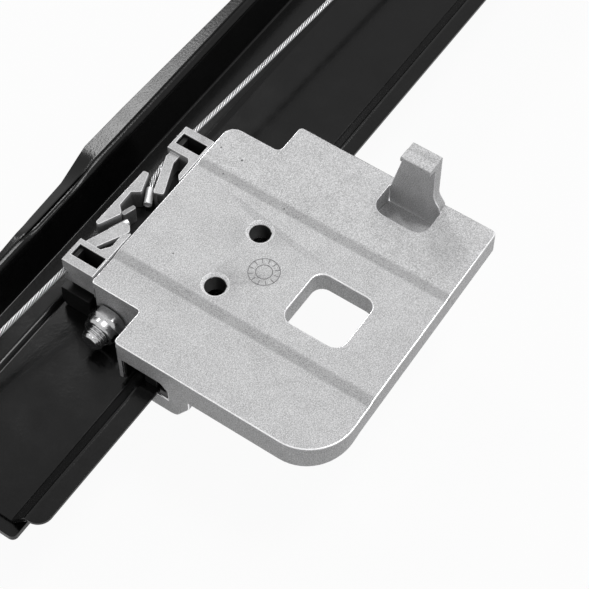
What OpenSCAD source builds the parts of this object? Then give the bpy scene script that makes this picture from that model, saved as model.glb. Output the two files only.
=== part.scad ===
// Window regulator of the single rail, wire rope type. A cast lift plate
// slides along a pressed steel guide rail, drawn by a wire rope that turns
// over a pulley at each end of the rail and winds on a drum behind it.
// X points up the rail, Y across it toward the tall wall, and Z out of the
// web toward the lift plate. The origin is the centre of the lower
// mounting hole, on the face of the web. The lift plate stands near the
// bottom of its travel.

/* [Guide rail] */
// From the lower mounting hole to the rail's upper end
rail_up = 490; // [430:1:560]
// From the lower mounting hole to the rail's lower end
rail_down = 7; // [6.5:0.5:9]
// Thickness of the rail's sheet
sheet_t = 1.5; // [1.2:0.1:1.8]
// Bend radius inside every fold of the rail
bend_r = 0.8; // [0.6:0.1:1.2]
// From the hole line to the foot of the flange's riser
web_flange_y = 22.8; // [22.5:0.1:24]
// Height of the flange above the web
flange_h = 8.4; // [8:0.1:10]
// How far the riser leans out on its way up to the flange
riser_run = 6.1; // [5.5:0.1:6.5]
// Width of the flat flange
flange_w = 6.4; // [5.6:0.1:8]
// From the hole line to the foot of the step
web_wall_y = 13; // [12.8:0.1:13.4]
// Height and run of the step
step_h = 1.4; // [1.2:0.1:1.6]
// From the hole line to the foot of the tall wall
wall_y = 26; // [25.5:0.1:29]
// Height of the tall wall above the step
wall_h = 16.1; // [14:0.1:20]
// How far the tall wall leans out on its way up
wall_lean = 3.2; // [2.6:0.1:4]
// Diameter of the two mounting holes
mount_d = 8.5; // [8.2:0.1:9]
// From the rail's upper end to the upper mounting hole
mount_past = 10; // [9:0.5:14]
// From the rail's upper end down to the upper pulley's axis
pulley_in = 22; // [21:0.5:28]
// From the upper pulley's axis up to the middle of the rubber stop
stop_past = 4.3; // [2:0.1:6]

/* [Lift plate] */
// From the lower mounting hole to the plate's lower edge
plate_x = 50.4; // [49:0.2:56]
// Length of the plate along the rail
plate_l = 100.4; // [98:0.2:112]
// Width of the plate at its lower edge
plate_w = 96.6; // [94:0.2:110]
// How much narrower the plate is at its upper edge
plate_taper = 2.1; // [0:0.1:4]
// Height of the plate's middle face above the web
plate_top = 22.5; // [22:0.1:24]
// Depth of the face's shallow step down to its lower part
step_down = 0.8; // [0.3:0.1:1.2]
// Height of the face's shallow step up to its upper part
step_up = 0.4; // [0.2:0.1:1.2]
// Depth of the plate's sides below its middle face
side_h = 8.4; // [8:0.1:8.8]
// How much deeper the lower edge's skirt is
skirt_drop = 3.2; // [2:0.1:4]
// Thickness of the top wall under the middle face
top_t = 4.5; // [3.6:0.1:5]
// Thickness of the rim and of the walls round the holes
rim_t = 3; // [2.4:0.1:3.4]
// Thickness of the ribs under the plate
rib_t = 2; // [1.6:0.1:2.6]
// Radius of the large corner
corner_r = 16; // [10:0.5:18]
// Side of the square hole along the rail
square_l = 21.3; // [18:0.1:23]
// Side of the square hole across the rail
square_w = 21.7; // [18:0.1:23]
// Diameter of the two glass fixing holes
glass_d = 7; // [6.4:0.1:7.6]
// Distance between the two glass fixing holes
glass_pitch = 24.25; // [22:0.05:26]
// Height of the hook above the plate's middle face
hook_h = 22.9; // [18:0.1:30]
// Thickness of the hook's upright
hook_t = 3.6; // [3:0.1:4.2]
// How far the hook's nose stands out in front of its upright
nose_l = 3.9; // [2.5:0.1:5]
// Length of each guide shoe along the rail
shoe_l = 20; // [16:0.5:22]

/* [Slide pieces] */
// Thickness of the lining in the shoes
liner_t = 0.9; // [0.7:0.1:1.2]
// Running gap between the lining or the glides and the rail
slide_gap = 0.06; // [0.04:0.01:0.1]
// Height of the glides' ledge above the web
glide_h = 9.4; // [9:0.1:9.8]
// Thickness of the tray that carries the cable holders
tray_t = 3; // [2.6:0.1:3.2]
// Height of the holders' arms and of the retaining bracket's face
arm_top = 21; // [20.6:0.1:21.6]
// Diameter of the adjuster stud
stud_d = 8; // [7:0.5:8]
// Width across the flats of the adjuster nut
nut_af = 12; // [11:0.5:12]

/* [Wire rope] */
// Diameter of the wire rope
rope_d = 1.8; // [1.5:0.1:2]
// Diameter of the two end ferrules
ferrule_d = 2.7; // [2.4:0.1:2.7]
// Radius at which the rope turns on the pulleys
turn_r = 11; // [10:0.5:12]
// Radius of the pulleys' rims
pulley_r = 13; // [12.6:0.1:13.4]
// Thickness of the pulleys
pulley_t = 6; // [5.4:0.2:6.4]
// Diameter of the pulleys' axles
axle_d = 5; // [4:0.5:6]

/* [Drum] */
// From the lower mounting hole to the drum's axis
drum_x = 335; // [320:1:345]
// Radius at which the rope winds on the drum
wind_r = 18; // [17:0.5:18]
// Radius of the drum's flanges
drum_r = 20.5; // [20:0.1:20.7]
// Distance between two turns on the drum
turn_pitch = 2.8; // [2.5:0.1:2.9]
// Number of turns that lie on the drum
turns = 3; // [2:1:3]
// Diameter of the drum's drive socket
socket_d = 10; // [8:0.5:11]
// Thickness of the drum housing's wall
housing_t = 2.2; // [1.8:0.1:2.6]
// Diameter of the circle of motor screws
motor_pcd = 60; // [58:0.5:62]
// Diameter of the motor screw holes
motor_hole_d = 5.5; // [5:0.1:6]

/* [Hidden] */
$fn = 64;

cut = 1;
web_back = -sheet_t;
rope_r = rope_d / 2;
fit_gap = 0.15;
seat_gap = 0.05;
bearing_gap = 0.06;

// Plan and section helpers
function unit(v) = v / norm(v);
function left_of(v) = [-v[1], v[0]];
function turned(v, a) = [v[0] * cos(a) - v[1] * sin(a), v[0] * sin(a) + v[1] * cos(a)];
function flat(p) = [p[0], p[1]];
function arc_steps(r) = r < 1 ? 3 : r < 5 ? 6 : 14;

// The points of corner c between p and n, rounded to radius r
function corner(p, c, n, r) = let(
    a = unit(c - p),
    b = unit(n - c),
    bend = cross(a, b),
    angle = acos(max(-1, min(1, a * b))),
    side = bend > 0 ? 1 : -1,
    centre = c - a * r * tan(angle / 2) + side * r * left_of(a),
    steps = arc_steps(r))
  (r <= 0 || angle < 1) ? [c] :
  [for (k = [0:steps]) centre + turned(-side * r * left_of(a), side * angle * k / steps)];

// A closed outline of [x, y, corner radius], with its corners rounded
function rounded(o) = let(n = len(o)) [for (i = [0:n - 1])
  each corner(flat(o[(i + n - 1) % n]), flat(o[i]), flat(o[(i + 1) % n]), o[i][2])];

// A counter-clockwise outline of [x, y, corner radius], moved inward by d
function moved_in(o, d) = let(n = len(o)) [for (i = [0:n - 1]) let(
    a = unit(flat(o[i]) - flat(o[(i + n - 1) % n])),
    b = unit(flat(o[(i + 1) % n]) - flat(o[i])),
    m = (left_of(a) + left_of(b)) / (1 + a * b),
    side = cross(a, b) > 0 ? 1 : -1)
  [o[i][0] + d * m[0], o[i][1] + d * m[1], max(0.4, o[i][2] - side * d)]];

// One face of a bent sheet: the path moved d to its left, with round folds.
// The path is the sheet's middle line and r the folds' radius on that line.
function sheet_side(path, r, d) = let(last = len(path) - 1) [
  path[0] + d * left_of(unit(path[1] - path[0])),
  for (i = [1:last - 1]) let(
      a = unit(path[i] - path[i - 1]),
      b = unit(path[i + 1] - path[i]),
      side = cross(a, b) > 0 ? 1 : -1,
      angle = acos(a * b),
      centre = path[i] - a * r * tan(angle / 2) + side * r * left_of(a))
    for (k = [0:4]) centre + turned(-side * (r - side * d) * left_of(a), side * angle * k / 4),
  path[last] + d * left_of(unit(path[last] - path[last - 1]))];

// The middle line of a sheet whose left face follows the given corners
function middle_line(face, t) = let(last = len(face) - 1) [for (i = [0:last]) let(
    a = i == 0 ? unit(face[1] - face[0]) : unit(face[i] - face[i - 1]),
    b = i == last ? a : unit(face[i + 1] - face[i]))
  face[i] - t / 2 * (left_of(a) + left_of(b)) / (1 + a * b)];

function reversed(v) = [for (i = [len(v) - 1:-1:0]) v[i]];

function sheet_outline(face, t, r) = let(path = middle_line(face, t))
  concat(sheet_side(path, r + t / 2, t / 2), reversed(sheet_side(path, r + t / 2, -t / 2)));

// A prism along X whose section is drawn in Y and Z
module along_x(x0, x1) {
  translate([x0, 0, 0]) rotate([90, 0, 90]) linear_extrude(x1 - x0) children();
}

// A prism along Y whose section is drawn in X and Z
module along_y(y0, y1) {
  translate([0, y1, 0]) rotate([90, 0, 0]) linear_extrude(y1 - y0) children();
}

module slab(z0, z1) {
  translate([0, 0, z0]) linear_extrude(z1 - z0) children();
}

module rod(p, q, r) {
  d = q - p;
  translate(p) rotate([0, acos(d[2] / norm(d)), atan2(d[1], d[0])]) cylinder(h = norm(d), r = r);
}

// A closed solid through rings of equally many points
module loft(rings) {
  n = len(rings[0]);
  last = len(rings) - 1;
  polyhedron(
    points = [for (ring = rings) each ring],
    faces = concat(
      [[for (i = [0:n - 1]) i]],
      [for (j = [0:last - 1]) for (i = [0:n - 1])
        [j * n + i, (j + 1) * n + i, (j + 1) * n + (i + 1) % n, j * n + (i + 1) % n]],
      [[for (i = [n - 1:-1:0]) last * n + i]]));
}

// Rail section: corners of the side that faces the lift plate
wall_top_y = wall_y + wall_lean;
wall_top_z = step_h + wall_h;
flange_y = web_flange_y + riser_run;
flange_edge = flange_y + flange_w;
mount_pitch = rail_up + mount_past;
lip_w = 8.3;
lip_drop = 1.1;
rail_face = [[-flange_edge, flange_h], [-flange_y, flange_h], [-web_flange_y, 0], [web_wall_y, 0],
  [web_wall_y + step_h, step_h], [wall_y, step_h], [wall_top_y, wall_top_z],
  [wall_top_y + lip_w + cut, wall_top_z - lip_drop]];

// Reach of the lip past the wall's top: [place along the rail, reach]
lip_reach = [[rail_up, 5.6], [186, 6.1], [149, 7.3], [128, 8], [108, lip_w], [93, 5.6], [76, 5],
  [60, 3.9], [-rail_down, 3.8]];

// The flange narrows between these places along the rail
narrowing = [60, 160];
narrow_by = 1.1;

// Pulley places. The rope leaves each pulley's crown toward the lift plate
// and its underside toward the drum.
pulley_z = -0.5;
lower_pulley_at = [3, 19, pulley_z];
upper_pulley_at = [rail_up - pulley_in, -5, pulley_z];
cheek_t = 2;
cheek_gap = 0.3;
cheek_w = 15;
bracket_t = 2.5;
bracket_back = web_back - bracket_t;
window_w = pulley_t + 2 * cheek_gap;
head_t = 1.2;
notch_w = window_w + 2 * (cheek_t + head_t) + 0.6;
head_r = axle_d / 2 + 1.3;

// Places of the drum and what holds it
drum_y = -15;
cover_t = 1.5;
cover_back = web_back - cover_t;
ear_t = 5;
ear_r = 5.5;
ear_x = 29;
ear_ys = [-3, -18];
m5_d = 5;
nut_h = 4;
drum_top = cover_back - 0.2;
drum_w = 18;
drum_bottom = drum_top - drum_w;
floor_top = drum_bottom - 0.2;
floor_t = 2.6;
housing_r = drum_r + 0.8 + housing_t;
first_turn_z = drum_top - 3.4;
lower_rope_z = first_turn_z;
upper_rope_z = first_turn_z - (turns + 1) * turn_pitch;

// Carrier places
plate_end = plate_x + plate_l;
plate_low = plate_top - side_h;
roof_z = plate_top - top_t;
wall_side_x = plate_x + 13.6;
tray_top = glide_h + tray_t;

// Rope route on the lift plate, from the box's outer face to the ferrule
lower_end_route = [[65.2, 12.1, 16.6], [70, 11.75, 17], [75.5, 11, 17.3], [80.5, 10.1, 17.5],
  [84.4, 9, 17.5]];
upper_end_route = [[130.3, 10.9, 17.2], [125, 10.6, 17.9], [119.6, 10.4, 18.6], [114, 10.1, 18.9],
  [109, 9.4, 18.8], [105.4, 8.1, 18.5]];
lower_ferrule_tip = [90.9, 6.2, 17.5];
upper_ferrule_tip = [99.4, 4.9, 18.5];
rope_break = 0.3;
lower_leave = lower_end_route[0];
upper_leave = upper_end_route[0];

// Angle at which a line from p touches the circle, seen in two axes.
// side is 1 for the touching point met turning on from p, -1 for the other.
function touch_angle(centre, r, p, side) = let(d = p - centre)
  atan2(d[1], d[0]) + side * acos(r / norm(d));
function on_circle(centre, r, a) = centre + r * [cos(a), sin(a)];
function xz(p) = [p[0], p[2]];

lower_crown_a = touch_angle(xz(lower_pulley_at), turn_r, xz(lower_leave), 1);
lower_under_a = touch_angle(xz(lower_pulley_at), turn_r, [drum_x, lower_rope_z], -1) + 360;
upper_crown_a = touch_angle(xz(upper_pulley_at), turn_r, xz(upper_leave), -1);
upper_under_a = touch_angle(xz(upper_pulley_at), turn_r, [drum_x, upper_rope_z], 1);
function pulley_point(at, a) = let(p = on_circle(xz(at), turn_r, a)) [p[0], at[1], p[1]];
function drum_point(from, side, z) = let(
    centre = [drum_x, drum_y],
    p = on_circle(centre, wind_r, touch_angle(centre, wind_r, flat(from), side)))
  [p[0], p[1], z];
lower_crown = pulley_point(lower_pulley_at, lower_crown_a);
lower_under = pulley_point(lower_pulley_at, lower_under_a);
upper_crown = pulley_point(upper_pulley_at, upper_crown_a);
upper_under = pulley_point(upper_pulley_at, upper_under_a);
lower_wind = drum_point(lower_under, -1, lower_rope_z);
upper_wind = drum_point(upper_under, 1, upper_rope_z);

// Rail in plan, cut to length with its free corners rounded
rail_plan = concat([[-rail_down, -flange_edge, 5], [narrowing[0], -flange_edge, 0],
    [narrowing[1], narrow_by - flange_edge, 0], [rail_up, narrow_by - flange_edge, 5]],
  [for (s = lip_reach) [s[0], wall_top_y + s[1], 3]]);
stop_at = [upper_pulley_at[0] + stop_past, -17.5];
stop_stem_r = 2.4;
rivet_d = 4;
lower_rivet_at = [[-2.5, 7], [14, 7]];
upper_rivet_at = [for (p = [[-23, -14], [-23, 6], [15, 8]]) [upper_pulley_at[0] + p[0], p[1]]];

module at_each(places) {
  for (p = places) translate(p) children();
}

module guide_rail() {
  color([0.05, 0.05, 0.055]) difference() {
    intersection() {
      along_x(-rail_down, rail_up) polygon(sheet_outline(rail_face, sheet_t, bend_r));
      slab(-20, 40) polygon(rounded(rail_plan));
    }
    translate([0, 0, web_back - cut]) cylinder(h = sheet_t + 2 * cut, d = mount_d);
    // Notch at the lower end and window near the upper end, for the pulleys
    translate([-rail_down - cut, lower_pulley_at[1] - notch_w / 2, web_back - cut])
      cube([rail_down + cut + lower_pulley_at[0] + pulley_r + 1.5, notch_w, step_h + sheet_t + 2 * cut]);
    translate([upper_pulley_at[0] - pulley_r - 1.5, upper_pulley_at[1] - notch_w / 2, web_back - cut])
      cube([2 * (pulley_r + 1.5), notch_w, sheet_t + 2 * cut]);
    at_each([for (p = concat(lower_rivet_at, upper_rivet_at)) [p[0], p[1], web_back - cut]])
      cylinder(h = sheet_t + 2 * cut, d = rivet_d + 2 * seat_gap);
    translate([stop_at[0], stop_at[1], web_back - cut])
      cylinder(h = sheet_t + 2 * cut, r = stop_stem_r + 0.1);
  }
}

// A pressed bracket behind the web: a flat plate with a window for the
// pulley, and two cheeks folded up from the window's sides.
module pulley_bracket(at, plan, rivets, holes) {
  color([0.08, 0.08, 0.085]) difference() {
    union() {
      difference() {
        slab(bracket_back, web_back) polygon(rounded(plan));
        translate([at[0] - pulley_r - 1.5, at[1] - window_w / 2, bracket_back - cut])
          cube([2 * pulley_r + 3, window_w, bracket_t + 2 * cut]);
      }
      for (y0 = [at[1] - window_w / 2 - cheek_t, at[1] + window_w / 2]) {
        along_y(y0, y0 + cheek_t) {
          translate([at[0] - cheek_w / 2, bracket_back]) square([cheek_w, at[2] - bracket_back]);
          translate([at[0], at[2]]) circle(d = cheek_w);
        }
      }
    }
    translate([at[0], at[1] + notch_w / 2 + cut, at[2]]) rotate([90, 0, 0])
      cylinder(h = notch_w + 2 * cut, d = axle_d + 0.04);
    // Reliefs for the axle's heads
    for (y = [at[1] - notch_w / 2, at[1] + window_w / 2 + cheek_t])
      translate([at[0] - head_r - 0.4, y, bracket_back - cut])
        cube([2 * head_r + 0.8, head_t + 0.3, bracket_t + 2 * cut]);
    at_each([for (p = rivets) [p[0], p[1], bracket_back - cut]])
      cylinder(h = bracket_t + 2 * cut, d = rivet_d + 2 * seat_gap);
    for (p = holes) translate([p[0], p[1], bracket_back - cut])
      cylinder(h = bracket_t + 2 * cut, r = p[2]);
  }
}

mount_relief_r = mount_d / 2 + 1.5;
mount_edge = 11;
bracket_reach = 30;
bracket_y = [12.5, 21.5];
bracket_end_y = 10;
foot_edge = 4;
foot_x = [24, 30, 36];
foot_y = [-26.5, -8, 22, 29.5];

module lower_bracket() {
  low = -rail_down - foot_edge;
  plan = [[low, foot_y[0], 2], [foot_x[1], foot_y[0], 4], [foot_x[2], foot_y[1], 4],
    [foot_x[2], foot_y[2], 4], [foot_x[0], foot_y[3], 3], [low, foot_y[3], 2]];
  pulley_bracket(lower_pulley_at, plan, lower_rivet_at, [[0, 0, mount_relief_r]]);
}

module upper_bracket() {
  low = upper_pulley_at[0] - bracket_reach;
  high = mount_pitch + mount_edge;
  plan = [[low, -bracket_y[1], 4], [upper_pulley_at[0] + bracket_reach, -bracket_y[1], 8],
    [high, -bracket_end_y, 6], [high, bracket_end_y, 6], [mount_pitch, bracket_y[0], 3],
    [low, bracket_y[0], 4]];
  pulley_bracket(upper_pulley_at, plan, upper_rivet_at,
    [[mount_pitch, 0, mount_d / 2], [stop_at[0], stop_at[1], stop_stem_r + 0.1]]);
}

// Flush rivets, headed behind the bracket
module rivets(places) {
  color("silver") at_each([for (p = places) [p[0], p[1], bracket_back - 1.6]]) {
    cylinder(h = 1.4 - bracket_back, d = rivet_d);
    cylinder(h = 1.6, r1 = rivet_d * 0.55, r2 = rivet_d * 0.95);
  }
}

module lower_rivets() { rivets(lower_rivet_at); }

module upper_rivets() { rivets(upper_rivet_at); }

// A shouldered pin through both cheeks, headed on both sides
module axle(at) {
  half = window_w / 2 + cheek_t;
  color("silver") translate([at[0], at[1], at[2]]) rotate([90, 0, 0]) {
    translate([0, 0, -half]) cylinder(h = 2 * half, d = axle_d);
    translate([0, 0, half]) cylinder(h = head_t, r = head_r);
    translate([0, 0, -half - head_t]) cylinder(h = head_t, r = head_r);
  }
}

module lower_axle() { axle(lower_pulley_at); }

module upper_axle() { axle(upper_pulley_at); }

// A moulded pulley: deep rope groove, thin web with round holes, and a hub
module pulley(at) {
  floor_r = turn_r - rope_r - fit_gap;
  hub_r = axle_d / 2 + 2;
  web_half = pulley_t / 2 - 1.3;
  rim_in = floor_r - 1.8;
  color([0.16, 0.16, 0.17]) translate(at) rotate([90, 0, 0]) difference() {
    rotate_extrude() polygon([[0, -pulley_t / 2], [hub_r, -pulley_t / 2], [hub_r, -web_half],
      [rim_in, -web_half], [rim_in, -pulley_t / 2], [pulley_r, -pulley_t / 2],
      [pulley_r, -pulley_t / 2 + 0.7], [floor_r, -rope_r - 0.1], [floor_r, rope_r + 0.1],
      [pulley_r, pulley_t / 2 - 0.7], [pulley_r, pulley_t / 2], [rim_in, pulley_t / 2],
      [rim_in, web_half], [hub_r, web_half], [hub_r, pulley_t / 2], [0, pulley_t / 2]]);
    translate([0, 0, -pulley_t]) cylinder(h = 2 * pulley_t, r = axle_d / 2 + bearing_gap);
    for (a = [0:72:288]) rotate([0, 0, a]) translate([(hub_r + rim_in) / 2, 0, -pulley_t])
      cylinder(h = 2 * pulley_t, r = (rim_in - hub_r) / 2 - 0.5);
  }
}

module lower_pulley() { pulley(lower_pulley_at); }

module upper_pulley() { pulley(upper_pulley_at); }

// Rubber buffer that ends the upward travel, snapped through the web
module upper_stop() {
  size = [9, 8.4, 9];
  color([0.1, 0.1, 0.1]) translate([stop_at[0], stop_at[1], 0]) {
    difference() {
      slab(0, size[2]) polygon(rounded([[-size[0] / 2 - 1.5, -size[1] / 2, 1.5],
        [size[0] / 2, -size[1] / 2, 2], [size[0] / 2, size[1] / 2, 2],
        [-size[0] / 2 - 1.5, size[1] / 2, 1.5]]));
      translate([0, 0, size[2] - 3]) cylinder(h = 4, r = 1.6);
    }
    translate([0, 0, bracket_back - 1]) cylinder(h = 1 - bracket_back + 0.5, r = stop_stem_r);
    translate([0, 0, bracket_back - 2.6]) cylinder(h = 2.6, r1 = 1.8, r2 = 3.8);
  }
}

ear_places = [for (x = [-ear_x, ear_x]) for (y = ear_ys) [drum_x + x, y]];

// Studs welded to the back of the web, so that nothing stands in the slide's way
module drum_studs() {
  color("silver") at_each([for (p = ear_places) [p[0], p[1], cover_back - ear_t - nut_h - 1.5]])
    cylinder(h = web_back - cover_back + ear_t + nut_h + 1.5, d = m5_d);
}

module ear_plan(r) {
  translate([drum_x, drum_y]) circle(r = housing_r);
  polygon(rounded([for (p = [[-ear_x - r, ear_ys[1] - r], [ear_x + r, ear_ys[1] - r],
    [ear_x + r, ear_ys[0] + r], [-ear_x - r, ear_ys[0] + r]]) [drum_x + p[0], p[1], r - 0.5]]));
}

// Flat steel cover between the web and the drum housing
module drum_cover() {
  color([0.5, 0.5, 0.52]) difference() {
    slab(cover_back, web_back) ear_plan(ear_r);
    at_each([for (p = ear_places) [p[0], p[1], cover_back - cut]])
      cylinder(h = cover_t + 2 * cut, d = m5_d + 0.6);
    translate([drum_x, drum_y, cover_back - cut])
      cylinder(h = cover_t + 2 * cut, r = 6 + bearing_gap);
  }
}

motor_angles = [0, 120, 240];
motor_places = [for (a = motor_angles)
  [drum_x + motor_pcd / 2 * cos(a), drum_y + motor_pcd / 2 * sin(a)]];
lug_r = motor_hole_d / 2 + 3;
lug_h = 8;
floor_low = floor_top - floor_t;

// Moulded cup round the drum, with ears for the studs, lugs for the motor
// and a slot on each side where the rope runs in
module drum_housing() {
  color([0.13, 0.13, 0.14]) difference() {
    union() {
      slab(floor_low, cover_back) translate([drum_x, drum_y]) circle(r = housing_r);
      slab(cover_back - ear_t, cover_back) ear_plan(ear_r);
      for (a = motor_angles) slab(floor_low, floor_low + lug_h)
        translate([drum_x, drum_y]) rotate(a) {
          translate([motor_pcd / 2, 0]) circle(r = lug_r);
          translate([housing_r - 3, -lug_r]) square([motor_pcd / 2 - housing_r + 3, 2 * lug_r]);
        }
    }
    translate([drum_x, drum_y, floor_top])
      cylinder(h = cover_back - floor_top + cut, r = housing_r - housing_t);
    translate([drum_x, drum_y, floor_low - cut])
      cylinder(h = floor_t + 2 * cut, r = 9 + bearing_gap);
    at_each([for (p = ear_places) [p[0], p[1], cover_back - ear_t - cut]])
      cylinder(h = ear_t + 2 * cut, d = m5_d + 0.6);
    at_each([for (p = motor_places) [p[0], p[1], floor_low - cut]])
      cylinder(h = lug_h + 2 * cut, d = motor_hole_d);
    for (s = [[-1, lower_wind], [1, upper_wind]])
      translate([s[1][0] + (s[0] < 0 ? -housing_r - 6 : 0), s[1][1] - 2.2, s[1][2] - 1.6])
        cube([housing_r + 6, 8, 3.2]);
  }
}

module drum_nuts() {
  color("silver") at_each([for (p = ear_places) [p[0], p[1], cover_back - ear_t - nut_h]])
    difference() {
      cylinder(h = nut_h, r = 4.6, $fn = 6);
      translate([0, 0, -cut]) cylinder(h = nut_h + 2 * cut, d = m5_d + 2 * seat_gap);
    }
}

// Winding drum: rope grooves between two flanges, a journal at each end and
// a splined socket for the motor's shaft
module cable_drum() {
  groove_r = wind_r - rope_r - seat_gap;
  rest_r = groove_r + rope_d * 0.7;
  first = first_turn_z;
  half = rope_r + seat_gap;
  land = turn_pitch - 2 * half;
  rows = turns + 2;
  grooves = [for (k = [rows - 1:-1:0]) let(z = first - k * turn_pitch)
    each [[rest_r, z - half - land / 4], [groove_r, z - half * 0.6], [groove_r, z + half * 0.6],
      [rest_r, z + half + land / 4]]];
  color([0.75, 0.75, 0.72]) translate([drum_x, drum_y, 0]) difference() {
    rotate_extrude() polygon(concat(
      [[0, floor_low - 0.4], [9, floor_low - 0.4], [9, drum_bottom], [drum_r, drum_bottom],
        [drum_r, drum_bottom + 1.4]],
      [[rest_r, drum_bottom + 1.7]], grooves, [[rest_r, drum_top - 1.7]],
      [[drum_r, drum_top - 1.4], [drum_r, drum_top], [6, drum_top], [6, web_back - 0.3],
        [0, web_back - 0.3]]));
    translate([0, 0, floor_low - 0.4 - cut]) cylinder(h = 14 + cut, d = socket_d);
    for (a = [0:90:270]) rotate([0, 0, a]) translate([socket_d / 2 - 1, -0.7, floor_low - 0.4 - cut])
      cube([2, 1.4, 14 + cut]);
  }
}

// The turns of rope that lie on the drum
module drum_turns() {
  color([0.7, 0.7, 0.72]) for (k = [1:turns])
    translate([drum_x, drum_y, first_turn_z - k * turn_pitch])
      rotate_extrude() translate([wind_r, 0]) circle(r = rope_r, $fn = 24);
}

// A length of rope as an eight-sided tube. up is any direction that the
// route never runs in.
module rope(route, up) {
  last = len(route) - 1;
  loft([for (i = [0:last]) let(
      d = unit(route[min(i + 1, last)] - route[max(i - 1, 0)]),
      u = unit(cross(d, up)),
      v = cross(u, d))
    [for (k = [0:7]) route[i] + rope_r * (cos(45 * k) * u + sin(45 * k) * v)]]);
}

// Rope round a pulley and back behind the web to the drum
wrap_steps = 14;

module return_cable(at, a0, a1, wind) {
  color([0.7, 0.7, 0.72]) rope(concat(
    [for (k = [0:wrap_steps]) pulley_point(at, a0 + (a1 - a0) * k / wrap_steps)], [wind]), [0, 1, 0]);
}

module lower_return_cable() {
  return_cable(lower_pulley_at, lower_crown_a, lower_under_a, lower_wind);
}

module upper_return_cable() {
  return_cable(upper_pulley_at, upper_crown_a, upper_under_a, upper_wind);
}

// Free rope from a pulley's crown to the box on the lift plate
module front_cable(crown, leave) {
  d = unit(leave - crown);
  color([0.78, 0.78, 0.8]) rod(crown + d * rope_break, leave - d * rope_break, rope_r);
}

module lower_front_cable() { front_cable(lower_crown, lower_leave); }

module upper_front_cable() { front_cable(upper_crown, upper_leave); }

// Lift plate in plan, counter-clockwise from its large corner
plate_plan = [[plate_x, -plate_w, corner_r], [plate_end, plate_taper - plate_w, 1.5],
  [plate_end, -19.5, 1.5], [plate_end - 12.3, -19.5, 2], [plate_end - 12.3, 0, 4.5],
  [wall_side_x, 0, 1], [wall_side_x, -19, 1.2], [plate_x, -19, 1.5]];
square_at = [plate_x + 46.15, -67.05];
glass_at = [plate_x + 34.27, -32.65];
glass_places = [glass_at, glass_at + [glass_pitch, 0]];
glass_sink_d = glass_d + 2.4;
hook_face = plate_end - hook_t;
d_hole_l = 11;
d_hole_y = [-75.7, -56.6];
d_hole = [[hook_face - d_hole_l, d_hole_y[0], 4.5], [hook_face, d_hole_y[0], 0],
  [hook_face, d_hole_y[1], 0], [hook_face - d_hole_l, d_hole_y[1], 4.5]];
stud_at = [-6.8, 7.15];
boss_t = 4;
ramp_x = [24.6, 68.6];
ramp_l = [3.4, 3];

// The plate from the side: shallow steps above, a deeper skirt at the front
plate_side = [[plate_x - cut, plate_low - skirt_drop], [plate_x, plate_low - skirt_drop],
  [plate_x + shoe_l, plate_low], [plate_end + cut, plate_low],
  [plate_end + cut, plate_top + step_up],
  [plate_x + ramp_x[1] + ramp_l[1], plate_top + step_up], [plate_x + ramp_x[1], plate_top],
  [plate_x + ramp_x[0] + ramp_l[0], plate_top], [plate_x + ramp_x[0], plate_top - step_down],
  [plate_x - cut, plate_top - step_down]];

// Guide shoe: a C round the rail's flange, with its mouth toward the web
channel_roof = flange_h + 4.7;
channel_side = flange_edge + 3.5;
lip_top = flange_h - sheet_t - 1;
lip_low = lip_top - 7.1;
lip_in = flange_edge - 4.3;
shoe_in = web_flange_y - 3;
shoe_leg_t = 2;
shoe_out = channel_side + 8.1;
shoe_leg = shoe_in + shoe_leg_t;
leg_low = 2.5;
channel_slope = [2.7, 2.6];
channel = [[-shoe_leg, channel_roof, 0], [-channel_side + channel_slope[0], channel_roof, 0],
  [-channel_side, channel_roof - channel_slope[1], 0], [-channel_side, lip_top, 0], [-lip_in, lip_top, 0]];
shoe_section = concat([[-shoe_in, roof_z + cut, 0], [-shoe_in, leg_low, 0.9],
    [-shoe_leg, leg_low, 0.9]], channel,
  [[-lip_in, lip_low, 1.5], [-channel_side - 2.9, lip_low, 4], [-shoe_out, lip_low + 8.5, 4],
    [-shoe_out, roof_z + cut, 0]]);
shoe_places = [plate_x, plate_end - shoe_l];

tab_xs = [29.6, 61.6];
tab_w = 8;
screw_y = -5;
screw_places = [for (x = tab_xs) [plate_x + x, screw_y]];
screw_d = 4;

module plate_plan_at(p, l, w, r, grow) {
  translate([p[0], p[1]]) polygon(rounded([[-l / 2 - grow, -w / 2 - grow, r + grow],
    [l / 2 + grow, -w / 2 - grow, r + grow], [l / 2 + grow, w / 2 + grow, r + grow],
    [-l / 2 - grow, w / 2 + grow, r + grow]]));
}

// Everything that stays solid inside the plate's hollow underside
module plate_islands() {
  plate_plan_at(square_at, square_l, square_w, 4, rim_t - 0.5);
  translate([hook_face - d_hole_l - rim_t, d_hole_y[0] - rim_t])
    square([d_hole_l + rim_t + hook_t, d_hole_y[1] - d_hole_y[0] + 2 * rim_t]);
  for (p = glass_places) translate(p) circle(d = glass_d + 2 * rim_t);
  for (p = screw_places) translate(p) circle(r = 4.4);
  for (x = shoe_places) translate([x, -shoe_out]) square([shoe_l, shoe_out - shoe_in]);
  translate([wall_side_x, -19]) square([boss_t, 19]);
  for (y = [-88, -50]) translate([plate_x, y - rib_t / 2]) square([plate_l, rib_t]);
  for (x = [square_at[0] - 22, square_at[0], square_at[0] + 22])
    translate([x - rib_t / 2, -plate_w]) square([rib_t, plate_w]);
}

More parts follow.
